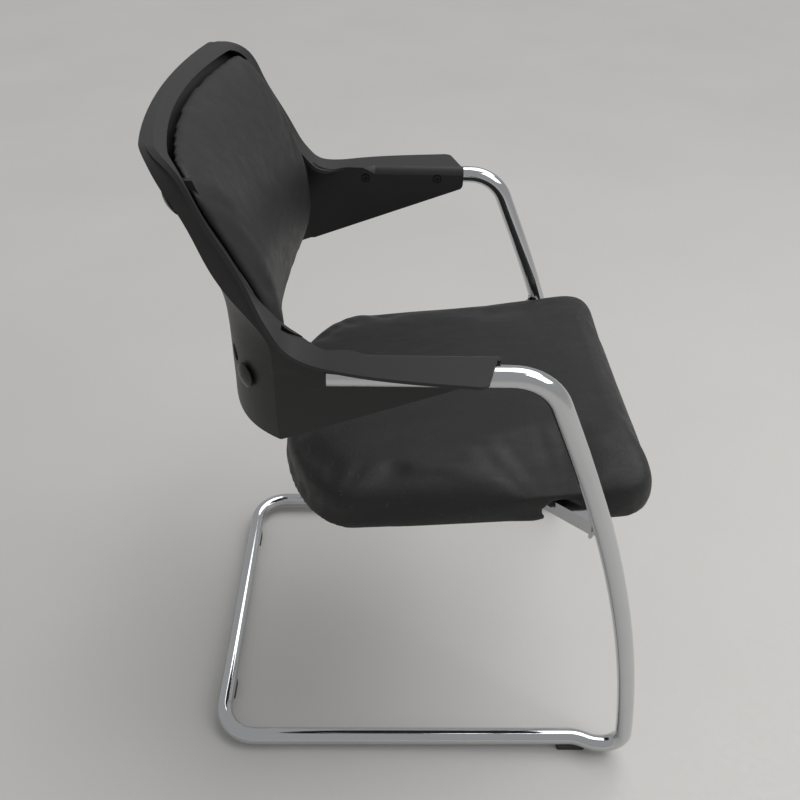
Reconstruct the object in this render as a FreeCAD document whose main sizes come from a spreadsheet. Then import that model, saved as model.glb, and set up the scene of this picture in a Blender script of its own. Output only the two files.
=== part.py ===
"""Cantilever armchair: bent chromed tube, upholstered seat and back, moulded back-and-arm shell."""
import FreeCAD, Part
import math
import os
from FreeCAD import Placement, Rotation, Vector

os.makedirs("parts", exist_ok=True)
doc = FreeCAD.newDocument("cantilever_chair")
sheet = doc.addObject("Spreadsheet::Sheet", "sizes")

# Driving sizes in millimetres and degrees. X is across, -Y is the front, Z is up from the floor.
SIZES = dict(
    tube_diameter=22.0, tube_wall=2.0,
    frame_depth=577.0, arm_spacing=489.2, runner_spacing=467.8,
    arm_tube_height=640.6, arm_tube_rear=108.4, front_bend_radius=55.8,
    leg_upper_angle=66.3, leg_lower_angle=82.8, leg_straight=62.0,
    toe_radius=26.0, toe_step_length=45.0, runner_height=18.4, rear_corner_radius=50.0,
    end_cap_flange=1.6, end_cap_depth=14.0, fit_clearance=0.1,
    seat_pivot_height=404.0, seat_tilt=5.7, seat_pivot_place=-42.1,
    seat_front=204.0, seat_rear=222.0, seat_half_width=209.0, seat_thickness=57.0, seat_crown=4.0,
    seat_front_corner=46.0, seat_rear_bow=100.0, leather_thickness=1.3, seat_rim_width=34.0,
    board_bottom=30.0, board_thickness=10.0, board_gap=0.4,
    bar_height=20.0, bar_width=12.0, bar_place=46.0, bar_bend_radius=40.0, bar_sweep_angle=45.0,
    plate_thickness=3.0, plate_height=27.0, plate_width=16.0,
    rail_width=30.0, rail_thickness=4.0, rail_length=205.0, rail_spacing=190.0,
    seat_screw_front=25.0, seat_screw_rear=165.0,
    notch_width=30.0, notch_top=36.0,
    cover_thickness=2.5, cover_recess=3.0, post_diameter=10.0, post_side_x=140.0, post_side_y=-60.0,
    post_front_x=70.0, post_front_y=130.0,
    bolt_diameter=6.0, bolt_head_diameter=12.0, bolt_head_height=3.5, washer_diameter=16.0,
    washer_thickness=1.5, nut_flange_diameter=18.0, nut_flange_thickness=1.5, nut_barrel_diameter=8.0,
    small_screw_diameter=3.5, small_screw_head=7.5, small_screw_head_height=2.4,
    shell_wall=4.0, plate_over_tube=3.6, web_standoff=8.6,
    back_rise=171.0, back_top_half=212.0, back_top_corner=40.0, shell_drop=105.0,
    rim_width=14.0, rim_top_width=8.0, back_plan_curve=0.00078, rim_top_place=240.9, back_rake=129.0,
    shell_rear_low=226.0, rear_plan_curve=0.00055, rear_corner_turn=37.0,
    arm_front=-52.1, arm_front_half=281.5, arm_rear_half=255.6, arm_inner_half=235.5, arm_flare=31.0,
    web_front_depth=27.6, web_slope=20.35, web_corner=10.0,
    arm_screw_front=-16.0, arm_screw_rear=82.6, arm_screw_recess=12.0,
    pad_half_width=196.0, pad_ridge_half=168.0, pad_gap=1.6, pad_bottom_rise=16.0, pad_front_place=151.9,
    pad_seat_depth=1.0, pad_edge_thickness=6.0,
    pad_board_thickness=8.0, pad_board_half=190.0,
    cap_diameter=26.0, cap_height=4.5, cap_stand=2.5, cap_stem_diameter=14.0, cap_upper_x=184.0,
    cap_upper_drop=43.0, cap_lower_x=203.0,
    cap_lower_drop=215.0, access_hole_diameter=18.0, access_hole_x=176.0, access_hole_drop=207.0,
    insert_diameter=10.0, insert_length=6.0,
    front_glide_length=40.0, front_glide_width=20.0, front_glide_place=-212.0,
    rear_glide_length=30.0, rear_glide_x=150.0, glide_pin_diameter=5.0, glide_pin_length=9.0,
)
for row, (name, value) in enumerate(SIZES.items(), start=1):
    sheet.set("A%d" % row, name)
    sheet.set("B%d" % row, repr(value))
    sheet.setAlias("B%d" % row, name)
doc.recompute()


def size(name):
    return float(sheet.get(name))


def mirrored(shape):
    return shape.mirror(Vector(0, 0, 0), Vector(1, 0, 0))


def add_shape(label, shape):
    feature = doc.addObject("Part::Feature", label)
    feature.Label = label
    feature.Shape = shape
    return feature


def origin_plane(body, role):
    for feature in body.Origin.OriginFeatures:
        if feature.Role == role:
            return feature
    raise ValueError("no plane " + role)


def new_body(label):
    body = doc.addObject("PartDesign::Body", label)
    body.Label = label
    return body


def bound(sketch, constraint, name, expression):
    index = sketch.addConstraint(constraint)
    sketch.renameConstraint(index, name)
    sketch.setExpression("Constraints." + name, expression)


def rectangle(body, name, width, depth, role="XY_Plane"):
    """Centred rectangle whose two sides follow sheet expressions."""
    import Sketcher
    sketch = body.newObject("Sketcher::SketchObject", name)
    sketch.AttachmentSupport = [(origin_plane(body, role), "")]
    sketch.MapMode = "FlatFace"
    corners = [Vector(-9, -5, 0), Vector(9, -5, 0), Vector(9, 5, 0), Vector(-9, 5, 0)]
    for start, end in zip(corners, corners[1:] + corners[:1]):
        sketch.addGeometry(Part.LineSegment(start, end), False)
    for side in range(4):
        sketch.addConstraint(Sketcher.Constraint("Coincident", side, 2, (side + 1) % 4, 1))
    for side, kind in enumerate(("Horizontal", "Vertical", "Horizontal", "Vertical")):
        sketch.addConstraint(Sketcher.Constraint(kind, side))
    sketch.addConstraint(Sketcher.Constraint("Symmetric", 0, 1, 2, 1, -1, 1))
    bound(sketch, Sketcher.Constraint("DistanceX", 0, 1, 0, 2, 18.0), "width", width)
    bound(sketch, Sketcher.Constraint("DistanceY", 1, 1, 1, 2, 10.0), "depth", depth)
    return sketch


def circle(body, name, diameter, role="XY_Plane"):
    import Sketcher
    sketch = body.newObject("Sketcher::SketchObject", name)
    sketch.AttachmentSupport = [(origin_plane(body, role), "")]
    sketch.MapMode = "FlatFace"
    sketch.addGeometry(Part.Circle(Vector(0, 0, 0), Vector(0, 0, 1), 4.0), False)
    sketch.addConstraint(Sketcher.Constraint("Coincident", 0, 3, -1, 1))
    bound(sketch, Sketcher.Constraint("Diameter", 0, 8.0), "across", diameter)
    return sketch


def pad(body, sketch, name, length, reverse=False):
    feature = body.newObject("PartDesign::Pad", name)
    feature.Profile = sketch
    feature.setExpression("Length", length)
    feature.Reversed = reverse
    return feature


def cylinder(radius, height, base, axis=Vector(0, 0, 1)):
    return Part.makeCylinder(radius, height, base, axis)


def curve(points):
    spline = Part.BSplineCurve()
    spline.interpolate(points)
    return spline.toShape()


def line(start, end):
    return Part.makeLine(start, end)


def arc(start, middle, end):
    return Part.Arc(start, middle, end).toShape()


# Frame tube: one bent tube, from one arm down the leg, back along the floor and up the other side.
TUBE_RADIUS = size("tube_diameter") / 2
ARM_X = size("arm_spacing") / 2
RUNNER_X = size("runner_spacing") / 2
ARM_Z = size("arm_tube_height")
RUNNER_Z = size("runner_height")
UPPER_ANGLE = math.radians(size("leg_upper_angle"))
LOWER_ANGLE = math.radians(size("leg_lower_angle"))
FRONT_RADIUS = size("front_bend_radius")
TOE_RADIUS = size("toe_radius")
LEG_STRAIGHT = size("leg_straight")
STEP_LENGTH = size("toe_step_length")
REAR_BAR_Y = size("frame_depth") / 2 - TUBE_RADIUS

# The long bow of the leg takes up the height that the bends and the straight leave.
LEG_DROP = ARM_Z - RUNNER_Z
SHORT_DROPS = (FRONT_RADIUS * (1 - math.cos(UPPER_ANGLE)) + LEG_STRAIGHT * math.sin(UPPER_ANGLE)
               + TOE_RADIUS * (1 + math.cos(LOWER_ANGLE)))
BOW_RADIUS = (LEG_DROP - SHORT_DROPS) / (math.cos(UPPER_ANGLE) - math.cos(LOWER_ANGLE))

# The toe is the frontmost point, so the arm's bend starts this far behind it.
LEG_ADVANCE = (FRONT_RADIUS * math.sin(UPPER_ANGLE) + LEG_STRAIGHT * math.cos(UPPER_ANGLE)
               + BOW_RADIUS * (math.sin(LOWER_ANGLE) - math.sin(UPPER_ANGLE))
               + TOE_RADIUS * (1 - math.sin(LOWER_ANGLE)))
BEND_START_Y = -REAR_BAR_Y + LEG_ADVANCE


def side_step(point, heading, turn, radius):
    """Arc in the side view from a point and a downward heading, turning by an angle."""
    centre = point + Vector(0, math.sin(heading), -math.cos(heading)) * radius

    def place(angle):
        return centre + Vector(0, -math.sin(angle), math.cos(angle)) * radius

    return arc(point, place(heading + turn / 2), place(heading + turn)), place(heading + turn)


def half_frame_path():
    """Edges of the left half, from the open arm end to the middle of the rear bar."""
    edges = []
    point = Vector(-ARM_X, size("arm_tube_rear"), ARM_Z)
    bend = Vector(-ARM_X, BEND_START_Y, ARM_Z)
    edges.append(line(point, bend))
    edge, point = side_step(bend, 0.0, UPPER_ANGLE, FRONT_RADIUS)
    edges.append(edge)
    down = Vector(0, -math.cos(UPPER_ANGLE), -math.sin(UPPER_ANGLE)) * LEG_STRAIGHT
    edges.append(line(point, point + down))
    edge, point = side_step(point + down, UPPER_ANGLE, LOWER_ANGLE - UPPER_ANGLE, BOW_RADIUS)
    edges.append(edge)
    edge, point = side_step(point, LOWER_ANGLE, math.pi - LOWER_ANGLE, TOE_RADIUS)
    edges.append(edge)
    shift = ARM_X - RUNNER_X
    turn = 2 * math.atan(shift / STEP_LENGTH)
    radius = STEP_LENGTH / (2 * math.sin(turn))
    middle = point + Vector(shift / 2, STEP_LENGTH / 2, 0)
    end = point + Vector(shift, STEP_LENGTH, 0)
    bulge = Vector(radius * (1 - math.cos(turn / 2)), radius * math.sin(turn / 2), 0)
    edges.append(arc(point, point + bulge, middle))
    edges.append(arc(middle, end - bulge, end))
    corner = size("rear_corner_radius")
    runner_end = Vector(-RUNNER_X, REAR_BAR_Y - corner, RUNNER_Z)
    edges.append(line(end, runner_end))
    half = corner * (1 - math.sqrt(0.5))
    bar_start = Vector(-RUNNER_X + corner, REAR_BAR_Y, RUNNER_Z)
    edges.append(arc(runner_end, Vector(-RUNNER_X + half, REAR_BAR_Y - half, RUNNER_Z), bar_start))
    edges.append(line(bar_start, Vector(0, REAR_BAR_Y, RUNNER_Z)))
    return edges


HALF_PATH = half_frame_path()


def swept_tube(radius):
    path = Part.Wire(HALF_PATH)
    ring = Part.Wire(Part.makeCircle(radius, Vector(-ARM_X, size("arm_tube_rear"), ARM_Z), Vector(0, 1, 0)))
    half = path.makePipeShell([ring], True, False)
    return half.fuse(mirrored(half)).removeSplitter()


OUTER_TUBE = swept_tube(TUBE_RADIUS)
BORE = swept_tube(TUBE_RADIUS - size("tube_wall"))


def leg_centre_y(height):
    """Y of the leg's centre line at a height within its long bow."""
    start = Vector(HALF_PATH[3].Vertexes[0].Point)
    heading = UPPER_ANGLE
    centre_y = start.y + math.sin(heading) * BOW_RADIUS
    centre_z = start.z - math.cos(heading) * BOW_RADIUS
    return centre_y - math.sqrt(BOW_RADIUS ** 2 - (height - centre_z) ** 2)


# Seat frame of reference: flat, bottom plane at zero, +U to the front; it is tilted into place.
TILT = size("seat_tilt")
SEAT_PLACE = Placement(Vector(0, size("seat_pivot_place"), size("seat_pivot_height")),
                       Rotation(Vector(1, 0, 0), -TILT))


def seated(shape):
    """Shape drawn flat in the seat's own frame, with -Y to the front, moved into the chair."""
    placed = shape.copy()
    placed.Placement = SEAT_PLACE.multiply(placed.Placement)
    return placed


SEAT_FRONT = size("seat_front")
SEAT_REAR = size("seat_rear")
HALF_WIDTH = size("seat_half_width")
FRONT_CORNER = size("seat_front_corner")
THICK = size("seat_thickness")


def seat_half_width_at(forward, inset):
    """Half width of the seat outline: square front corners, a bowed rear end, slight taper."""
    rear_span = size("seat_rear_bow")
    reach = forward + SEAT_REAR + 0.04 * rear_span
    width = HALF_WIDTH - 0.03 * (SEAT_FRONT - forward)
    if reach < rear_span:
        width *= (1 - (1 - reach / rear_span) ** 2) ** 0.5
    front_gap = SEAT_FRONT - forward
    if front_gap < FRONT_CORNER:
        drop = FRONT_CORNER - math.sqrt(max(FRONT_CORNER ** 2 - (FRONT_CORNER - front_gap) ** 2, 0))
        width -= drop
    return width - inset


def seat_section(forward, inset, low, high):
    """Closed cross-section of the cushion: flat bottom, bulged sides, crowned top."""
    half = seat_half_width_at(forward, inset)
    rounding = min(0.42 * (high - low), 0.45 * half)
    crown = size("seat_crown")
    y = -forward
    bottom_left = Vector(-half + rounding * 0.6, y, low)
    bottom_right = Vector(half - rounding * 0.6, y, low)
    left_top = Vector(-half + rounding, y, high)
    right_top = Vector(half - rounding, y, high)
    middle = (low + high) / 2 - 0.1 * (high - low)
    top = arc(left_top, Vector(0, y, high + crown), right_top)
    left = arc(bottom_left, Vector(-half, y, middle), left_top)
    right = arc(right_top, Vector(half, y, middle), bottom_right)
    return Part.Wire([line(bottom_right, bottom_left), left, top, right])


def seat_solid(inset):
    """Cushion outer form, or its core when inset by the leather's thickness."""
    span = SEAT_FRONT + SEAT_REAR
    ends = [(-SEAT_REAR + inset, 0.22, 0.62), (-SEAT_REAR + 0.012 * span + inset, 0.08, 0.82),
            (-SEAT_REAR + 0.05 * span, 0.0, 0.96), (-SEAT_REAR + 0.12 * span, 0.0, 1.0),
            (-SEAT_REAR + 0.3 * span, 0.0, 0.97), (-SEAT_REAR + 0.55 * span, 0.0, 0.98),
            (-SEAT_REAR + 0.8 * span, 0.0, 1.0), (SEAT_FRONT - 0.09 * span, 0.0, 1.0),
            (SEAT_FRONT - 0.04 * span, 0.0, 0.96), (SEAT_FRONT - 0.01 * span - inset, 0.08, 0.84),
            (SEAT_FRONT - inset, 0.22, 0.64)]
    wires = []
    for forward, low, high in ends:
        wires.append(seat_section(forward, inset, low * THICK + inset, high * THICK - inset))
    return Part.makeLoft(wires, True, False)


def seat_outline(inset, low, height):
    """Prism with the seat's plan outline, drawn in from its edge."""
    count = 9
    right = []
    for index in range(count):
        share = index / (count - 1)
        forward = -SEAT_REAR + inset + (SEAT_FRONT + SEAT_REAR - 2 * inset) * (1 - math.cos(math.pi * share)) / 2
        half = max(seat_half_width_at(forward, inset), 0.12 * HALF_WIDTH)
        right.append(Vector(half, -forward, low))
    left = [Vector(-point.x, point.y, point.z) for point in reversed(right)]
    wire = Part.Wire([curve(right), line(right[-1], left[0]), curve(left), line(left[-1], right[0])])
    return Part.Face(wire).extrude(Vector(0, 0, height))


BOARD_LOW = size("board_bottom")
BOARD_TOP = BOARD_LOW + size("board_thickness")
RIM = size("seat_rim_width")
recess = seat_outline(RIM, -THICK, THICK + BOARD_TOP + size("board_gap"))

# Seat carrier: a bar across under the board whose swept ends reach the legs.
BAR_HEIGHT = size("bar_height")
BAR_WIDTH = size("bar_width")
BAR_MID = BOARD_LOW - BAR_HEIGHT / 2
BAR_Y = -size("bar_place")
SWEEP = math.radians(size("bar_sweep_angle"))


def leg_in_seat_frame():
    """Where the leg's centre line meets the bar's middle height, in the seat's frame."""
    y = leg_centre_y(size("seat_pivot_height") + BAR_MID)
    for step in range(8):
        local = SEAT_PLACE.inverse().multVec(Vector(-ARM_X, y, seat_height_guess(y)))
        y = leg_centre_y(seat_height_guess(y))
    return local


def seat_height_guess(y):
    """Height of the bar's middle plane above the floor at a given Y."""
    run = size("seat_pivot_place") - y
    angle = math.radians(TILT)
    return size("seat_pivot_height") + BAR_MID / math.cos(angle) + run * math.tan(angle)


LEG_LOCAL = leg_in_seat_frame()
BEND = size("bar_bend_radius")
REACH = (BAR_Y - LEG_LOCAL.y) / math.tan(SWEEP)
BEND_X = LEG_LOCAL.x + REACH


def bar_path():
    tangent = BEND * math.tan(SWEEP / 2)
    along = Vector(math.cos(SWEEP), math.sin(SWEEP), 0)
    start = Vector(LEG_LOCAL.x, LEG_LOCAL.y, BAR_MID)
    knee = Vector(BEND_X, BAR_Y, BAR_MID)
    first = knee - along * tangent
    last = knee + Vector(1, 0, 0) * tangent
    centre = last + Vector(0, -BEND, 0)
    to_mid = Vector(-math.sin(SWEEP / 2), math.cos(SWEEP / 2), 0) * BEND
    left = [line(start, first), arc(first, centre + to_mid, last), line(last, Vector(0, BAR_Y, BAR_MID))]
    return left, start, along


BAR_EDGES, BAR_START, BAR_ALONG = bar_path()


def bar_profile():
    across = Vector(-BAR_ALONG.y, BAR_ALONG.x, 0)
    half_w = across * (BAR_WIDTH / 2)
    half_h = Vector(0, 0, BAR_HEIGHT / 2)
    corners = [BAR_START + half_w + half_h, BAR_START - half_w + half_h,
               BAR_START - half_w - half_h, BAR_START + half_w - half_h]
    edges = [line(a, b) for a, b in zip(corners, corners[1:] + corners[:1])]
    return Part.Wire(edges)


half_bar = Part.Wire(BAR_EDGES).makePipeShell([bar_profile()], True, False, 2)
bar = seated(half_bar.fuse(mirrored(half_bar)).removeSplitter()).cut(OUTER_TUBE)
bar = max(bar.Solids, key=lambda solid: solid.Volume)


def bracket_plate():
    """Thin upright plate that closes the bar's end against the leg."""
    distance = TUBE_RADIUS + 0.5 * size("plate_thickness")
    block = Part.makeBox(size("plate_thickness"), size("plate_width"), size("plate_height"),
                         Vector(-size("plate_thickness") / 2, -size("plate_width") / 2,
                                -size("plate_height") / 2))
    turn = Rotation(Vector(0, 0, 1), math.degrees(SWEEP))
    block.Placement = Placement(BAR_START + BAR_ALONG * distance, turn)
    return seated(block).cut(OUTER_TUBE)


PLATE_LEFT = bracket_plate()
PLATE_RIGHT = mirrored(PLATE_LEFT)
bar = bar.cut(PLATE_LEFT.fuse(PLATE_RIGHT))
bar = max(bar.Solids, key=lambda solid: solid.Volume)


def notch():
    """Arched passage for the bar through the cushion's side."""
    width = size("notch_width")
    top = size("notch_top")
    spring = top - width / 2
    across = Vector(-BAR_ALONG.y, BAR_ALONG.x, 0) * (width / 2)
    base = Vector(BAR_START.x, BAR_START.y, 0)
    low = Vector(0, 0, -THICK)
    side = Vector(0, 0, spring)
    wire = Part.Wire([line(base - across + low, base + across + low),
                      line(base + across + low, base + across + side),
                      arc(base + across + side, base + Vector(0, 0, top), base - across + side),
                      line(base - across + side, base - across + low)])
    return Part.Face(wire).extrude(BAR_ALONG * (ARM_X - HALF_WIDTH + 2.2 * RIM))


notches = notch().fuse(mirrored(notch()))
cushion = seat_solid(0.0)
core = seat_solid(size("leather_thickness"))
leather = cushion.cut(core).cut(recess).cut(notches)
foam = core.cut(recess).cut(notches)
seat_leather = add_shape("seat_leather", seated(max(leather.Solids, key=lambda solid: solid.Volume)))
seat_foam = add_shape("seat_foam", seated(max(foam.Solids, key=lambda solid: solid.Volume)))

# Frame, with its bore and the holes that the arm screws and the glide pins use.
WEB_FACE_X = ARM_X - TUBE_RADIUS - size("web_standoff")
SCREW_YS = (size("arm_screw_front"), size("arm_screw_rear"))
BOLT = size("bolt_diameter")
frame_shape = OUTER_TUBE.cut(BORE)
for screw_y in SCREW_YS:
    hole = cylinder(BOLT / 2 + 1.0, TUBE_RADIUS, Vector(-ARM_X, screw_y, ARM_Z), Vector(1, 0, 0))
    frame_shape = frame_shape.cut(hole).cut(mirrored(hole))
GLIDE_SPOTS = [Vector(RUNNER_X, size("front_glide_place"), 0), Vector(size("rear_glide_x"), REAR_BAR_Y, 0)]
PIN = size("glide_pin_diameter")
for spot in GLIDE_SPOTS:
    hole = cylinder(PIN / 2 + size("fit_clearance"), RUNNER_Z, spot)
    frame_shape = frame_shape.cut(hole).cut(mirrored(hole))
add_shape("frame_tube", frame_shape)
add_shape("seat_cross_bar", bar)
add_shape("bracket_plate_left", PLATE_LEFT)
add_shape("bracket_plate_right", PLATE_RIGHT)

# End caps close the open arm ends of the tube.
for side, label in ((-1, "tube_end_cap_left"), (1, "tube_end_cap_right")):
    body = new_body(label)
    flange = circle(body, label + "_flange", "sizes.tube_diameter", "XZ_Plane")
    pad(body, flange, label + "_disc", "sizes.end_cap_flange", reverse=True)
    plug = circle(body, label + "_plug", "sizes.tube_diameter - 2 * (sizes.tube_wall + sizes.fit_clearance)",
                  "XZ_Plane")
    pad(body, plug, label + "_stem", "sizes.end_cap_depth")
    body.Placement = Placement(Vector(side * ARM_X, size("arm_tube_rear"), ARM_Z), Rotation())

# Two flat rails run back from the bar and carry the board.
RAIL_X = size("rail_spacing") / 2
RAIL_FRONT_Y = BAR_Y + BAR_WIDTH / 2
RAIL_MID_Y = RAIL_FRONT_Y + size("rail_length") / 2
SCREW_SPOTS = []
for offset in (size("seat_screw_front"), size("seat_screw_rear")):
    for side in (-1, 1):
        SCREW_SPOTS.append(Vector(side * RAIL_X, RAIL_FRONT_Y + offset, 0))
for side, label in ((-1, "seat_rail_left"), (1, "seat_rail_right")):
    body = new_body(label)
    outline = rectangle(body, label + "_outline", "sizes.rail_width", "sizes.rail_length")
    pad(body, outline, label + "_strip", "sizes.rail_thickness")
    for number, offset in enumerate((size("seat_screw_front"), size("seat_screw_rear"))):
        drill = circle(body, label + "_hole%d" % number, "sizes.bolt_diameter + 1")
        drill.AttachmentOffset = Placement(Vector(0, offset - size("rail_length") / 2, 0), Rotation())
        cut = body.newObject("PartDesign::Pocket", label + "_drill%d" % number)
        cut.Profile = drill
        cut.Type = "ThroughAll"
        cut.Reversed = True
    flat = Placement(Vector(side * RAIL_X, RAIL_MID_Y, BOARD_LOW - size("rail_thickness")), Rotation())
    body.Placement = SEAT_PLACE.multiply(flat)

# Board that the foam sits on, and the thin cover that closes the seat from below.
CLEAR = size("fit_clearance")
board = seat_outline(RIM + 3 * CLEAR, BOARD_LOW, size("board_thickness"))
barrel = size("nut_barrel_diameter") / 2
flange_low = BOARD_TOP - size("nut_flange_thickness")
nuts = []
washers = []
bolts = []
HEAD_TOP = BOARD_LOW - size("rail_thickness") - size("washer_thickness")
for spot in SCREW_SPOTS:
    level = Vector(spot.x, spot.y, 0)
    board = board.cut(cylinder(barrel + CLEAR, THICK, level))
    board = board.cut(cylinder(size("nut_flange_diameter") / 2 + CLEAR, THICK, level + Vector(0, 0, flange_low)))
    body_low = BOARD_LOW + CLEAR
    nut = cylinder(barrel, BOARD_TOP - body_low, level + Vector(0, 0, body_low))
    nut = nut.fuse(cylinder(size("nut_flange_diameter") / 2, size("nut_flange_thickness"),
                            level + Vector(0, 0, flange_low)))
    nuts.append(nut.cut(cylinder(BOLT / 2 + CLEAR / 2, THICK, level)).removeSplitter())
    washer = cylinder(size("washer_diameter") / 2, size("washer_thickness"), level + Vector(0, 0, HEAD_TOP))
    washers.append(washer.cut(cylinder(BOLT / 2 + CLEAR, THICK, level)))
    head = cylinder(size("bolt_head_diameter") / 2, size("bolt_head_height"),
                    level + Vector(0, 0, HEAD_TOP - size("bolt_head_height")))
    socket = cylinder(BOLT / 3, size("bolt_head_height") / 2,
                      level + Vector(0, 0, HEAD_TOP - size("bolt_head_height")))
    shank = cylinder(BOLT / 2, BOARD_TOP - HEAD_TOP, level + Vector(0, 0, HEAD_TOP))
    bolts.append(head.fuse(shank).cut(socket).removeSplitter())
cover_low = size("cover_recess")
cover = seat_outline(RIM + 5 * CLEAR, cover_low, size("cover_thickness"))
POSTS = []
for side in (-1, 1):
    POSTS.append(Vector(side * size("post_side_x"), -size("post_side_y"), 0))
    POSTS.append(Vector(side * size("post_front_x"), -size("post_front_y"), 0))
cover_screws = []
small = size("small_screw_diameter") / 2
for post in POSTS:
    cover = cover.fuse(cylinder(size("post_diameter") / 2, BOARD_LOW - cover_low, post + Vector(0, 0, cover_low)))
    seat_low = cover_low + size("small_screw_head_height")
    shank = cylinder(small, BOARD_LOW + size("board_thickness") * 0.7 - seat_low, post + Vector(0, 0, seat_low))
    head = cylinder(size("small_screw_head") / 2, size("small_screw_head_height"), post + Vector(0, 0, cover_low))
    screw = head.fuse(shank).removeSplitter()
    cover = cover.cut(cylinder(small + CLEAR, THICK, post))
    cover = cover.cut(cylinder(size("small_screw_head") / 2 + CLEAR, seat_low, post))
    board = board.cut(cylinder(small, size("board_thickness") * 0.7, post + Vector(0, 0, BOARD_LOW)))
    cover_screws.append(screw)
add_shape("seat_board", seated(board))
add_shape("seat_bottom_cover", seated(cover.removeSplitter()))
add_shape("seat_t_nuts", seated(Part.makeCompound(nuts)))
add_shape("seat_washers", seated(Part.makeCompound(washers)))
add_shape("seat_bolts", seated(Part.makeCompound(bolts)))
add_shape("bottom_cover_screws", seated(Part.makeCompound(cover_screws)))

# Back-and-arm shell. ARM_TOP is the armrest's upper face; the back stands above it.
ARM_TOP = ARM_Z + TUBE_RADIUS + size("plate_over_tube")
BACK_TOP = ARM_TOP + size("back_rise")
SHELL_LOW = ARM_TOP - size("shell_drop")
WALL = size("shell_wall")
TOP_HALF = size("back_top_half")
WEB_OUT_X = WEB_FACE_X + WALL
ARM_ROUND = size("arm_inner_half") - WEB_FACE_X
RIM_TOP_Y = size("rim_top_place")
RISE = size("back_rise")
RAKE = size("back_rake")
SWEEP_Y = RIM_TOP_Y - RAKE
FAR = size("frame_depth")

# Side view of the rim's front face: share of the rake forward, share of the rise up.
RIM_STEPS = ((-0.05, 1.04), (0.0, 1.0), (0.093, 0.942), (0.163, 0.848), (0.257, 0.673), (0.366, 0.515),
             (0.481, 0.322), (0.554, 0.205), (0.636, 0.118), (0.713, 0.056), (0.81, 0.02), (0.93, 0.004))


def smooth(share):
    share = min(max(share, 0.0), 1.0)
    return share * share * (3 - 2 * share)


def rim_line():
    """Evenly spaced points of the rim's front face in side view, from above the top to the sweep's end."""
    points = [Vector(0, RIM_TOP_Y - RAKE * forward, ARM_TOP + RISE * up) for forward, up in RIM_STEPS]
    return curve(points + [Vector(0, SWEEP_Y, ARM_TOP)]).discretize(Number=22)


RIM_LINE = rim_line()


def rim_y(height):
    """Y of the rim's front face at a height."""
    points = RIM_LINE
    for upper, lower in zip(points, points[1:]):
        if lower.z <= height <= upper.z:
            share = (height - lower.z) / (upper.z - lower.z)
            return lower.y + share * (upper.y - lower.y)
    return points[-1].y if height < points[-1].z else points[0].y


def rim_bow(height):
    """Curvature of the rim across the chair: none at the arms, full at the top."""
    return size("back_plan_curve") * smooth((height - ARM_TOP) / (0.45 * RISE))


def grid_face(rows):
    surface = Part.BSplineSurface()
    surface.interpolate(rows)
    return surface.toShape()


def rim_face():
    """Front face of rim and arms as one surface, right across the chair."""
    rows = []
    end_y = size("arm_front") - 2 * WALL
    count = round((SWEEP_Y - end_y) / RIM_LINE[0].distanceToPoint(RIM_LINE[1]))
    level = [Vector(0, SWEEP_Y + (end_y - SWEEP_Y) * step / count, ARM_TOP) for step in range(1, count + 1)]
    for point in RIM_LINE + level:
        bow = rim_bow(point.z)
        row = []
        for column in range(-6, 7):
            x = column / 6 * 1.4 * TOP_HALF
            row.append(Vector(x, point.y + bow * (TOP_HALF ** 2 - x ** 2), point.z))
        rows.append(row)
    return grid_face(rows)


INWARD = Vector(0, math.sqrt(0.5), -math.sqrt(0.5))
RIM_FACE = rim_face()
rim_space = RIM_FACE.translated(INWARD * 1.5).extrude(INWARD * -FAR)


def skin_under_rim(thickness):
    """Layer of the given thickness right behind the rim's front face."""
    return RIM_FACE.extrude(INWARD * thickness)


def rear_y(x, height):
    """Y of the shell's rear face: upright below the arms, raked above, turned in at the sides."""
    share = (height - ARM_TOP + 25.0) / (RISE + 25.0)
    low = size("shell_rear_low")
    top = RIM_TOP_Y + size("back_plan_curve") * TOP_HALF ** 2 + 2 * WALL
    middle = low + (top - low) * max(share, 0.0) ** 2.1
    turned = size("rear_corner_turn") * (1 - 0.87 * smooth((height - ARM_TOP) / (0.5 * RISE)))
    return middle - size("rear_plan_curve") * x ** 2 - turned * (abs(x) / WEB_OUT_X) ** 8


def rear_face(shift):
    rows = []
    for step in range(13):
        height = SHELL_LOW - 10.0 + (BACK_TOP + 20.0 - SHELL_LOW) * step / 12
        row = []
        for column in range(-14, 15):
            x = column / 14 * 1.05 * WEB_OUT_X
            row.append(Vector(x, rear_y(x, height) - shift, height))
        rows.append(row)
    return grid_face(rows)


def rounded_front(half_top, half_low, high, low, corner):
    """Prism along Y with a rounded-top front view; the sides are curves from low to high half widths."""
    sides = []
    for share in (0.0, 0.16, 0.34, 0.55, 0.78, 1.0):
        height = low + (high - corner - low) * share
        swell = half_low(height) if callable(half_low) else half_top
        sides.append(Vector(swell, -FAR, height))
    top_side = sides[-1]
    turn = corner * (1 - math.sqrt(0.5))
    crown = Vector(top_side.x - corner, -FAR, high)
    middle = Vector(top_side.x - turn, -FAR, high - turn)
    flip = [Vector(-point.x, point.y, point.z) for point in sides]
    crown_left = Vector(-crown.x, -FAR, high)
    middle_left = Vector(-middle.x, -FAR, middle.z)
    wire = Part.Wire([curve(sides), arc(top_side, middle, crown), line(crown, crown_left),
                      arc(crown_left, middle_left, flip[-1]), curve(list(reversed(flip))),
                      line(flip[0], sides[0])])
    return Part.Face(wire).extrude(Vector(0, 2 * FAR, 0))


def strip_half(height):
    """Half width at the rim's outer edge: nearly upright, then flaring out to the arm."""
    share = min(max((BACK_TOP - height) / RISE, 0.0), 1.1)
    return TOP_HALF + 1.5 * share + size("arm_flare") * share ** 3.3


def wall_half(height):
    """Half width of the shell's side wall."""
    share = min(max((height - ARM_TOP) / RISE, 0.0), 1.0)
    return WEB_OUT_X + (TOP_HALF - 3.0 - WEB_OUT_X) * smooth(share * 1.5)


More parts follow.
